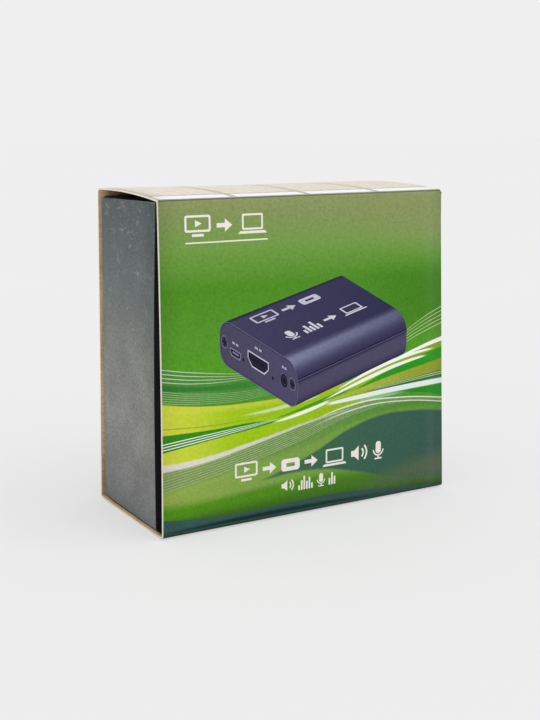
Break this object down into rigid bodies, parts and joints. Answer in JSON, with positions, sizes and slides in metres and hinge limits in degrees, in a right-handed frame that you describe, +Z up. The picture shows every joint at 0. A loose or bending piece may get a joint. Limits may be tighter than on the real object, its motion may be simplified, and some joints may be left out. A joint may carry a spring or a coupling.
{
  "type": "boxed video capture adapter",
  "caption": "Printed card sleeve with a slide-out dark tray, holding a small aluminium video capture adapter in a white card insert.",
  "frame": {"origin": "on the surface the carton stands on, under the middle of its overall box", "axes": "+X to the right along the printed front panel, +Y from the front panel to the back, +Z up"},
  "size_m": [0.12, 0.0582, 0.1189],
  "materials": {
    "printed_board": "satin",
    "dark_board": "satin",
    "white_card": "matte",
    "anodised_shell": "satin",
    "anodised_plate": "satin",
    "screw_steel": "satin",
    "board_laminate": "satin",
    "lamp_plastic": "gloss",
    "thermal_pad": "matte",
    "plated_steel": "satin",
    "port_plastic": "matte",
    "contact_brass": "polished",
    "chip_resin": "matte",
    "ferrite": "matte",
    "bulk_capacitor": "satin",
    "chip_ceramic": "satin"
  },
  "bodies": {
    "sleeve": {"outer_sleeve": "printed_board"},
    "tray": {"slide_tray": "dark_board", "insert_platform": "white_card", "upper_shell": "anodised_shell", "lower_shell": "anodised_shell", "input_end_plate": "anodised_plate", "output_end_plate": "anodised_plate", "end_plate_screws": "screw_steel", "circuit_board": "board_laminate", "indicator_lamps": "lamp_plastic", "thermal_pad": "thermal_pad", "video_input_shell": "plated_steel", "video_output_shell": "plated_steel", "power_port_shell": "plated_steel", "data_port_shell": "plated_steel", "video_input_insulator": "port_plastic", "video_output_insulator": "port_plastic", "power_port_insulator": "port_plastic", "data_port_insulator": "port_plastic", "video_input_contacts": "contact_brass", "video_output_contacts": "contact_brass", "power_port_contacts": "contact_brass", "data_port_contacts": "contact_brass", "mic_jack_body": "port_plastic", "audio_jack_body": "port_plastic", "mic_jack_terminals": "plated_steel", "audio_jack_terminals": "plated_steel", "receiver_chip": "chip_resin", "splitter_chip": "chip_resin", "capture_chip": "chip_resin", "audio_chip": "chip_resin", "memory_chips": "chip_resin", "voltage_regulators": "chip_resin", "power_inductors": "ferrite", "crystal_cans": "plated_steel", "bulk_capacitors": "bulk_capacitor", "protection_arrays": "chip_resin", "ceramic_capacitors": "chip_ceramic", "chip_resistors": "chip_resin"}
  },
  "joints": [
    {"name": "tray_slide", "type": "slide", "parent": "sleeve", "child": "tray", "axis": [-1, 0, 0], "range_m": [-0.1, 0.1]}
  ]
}
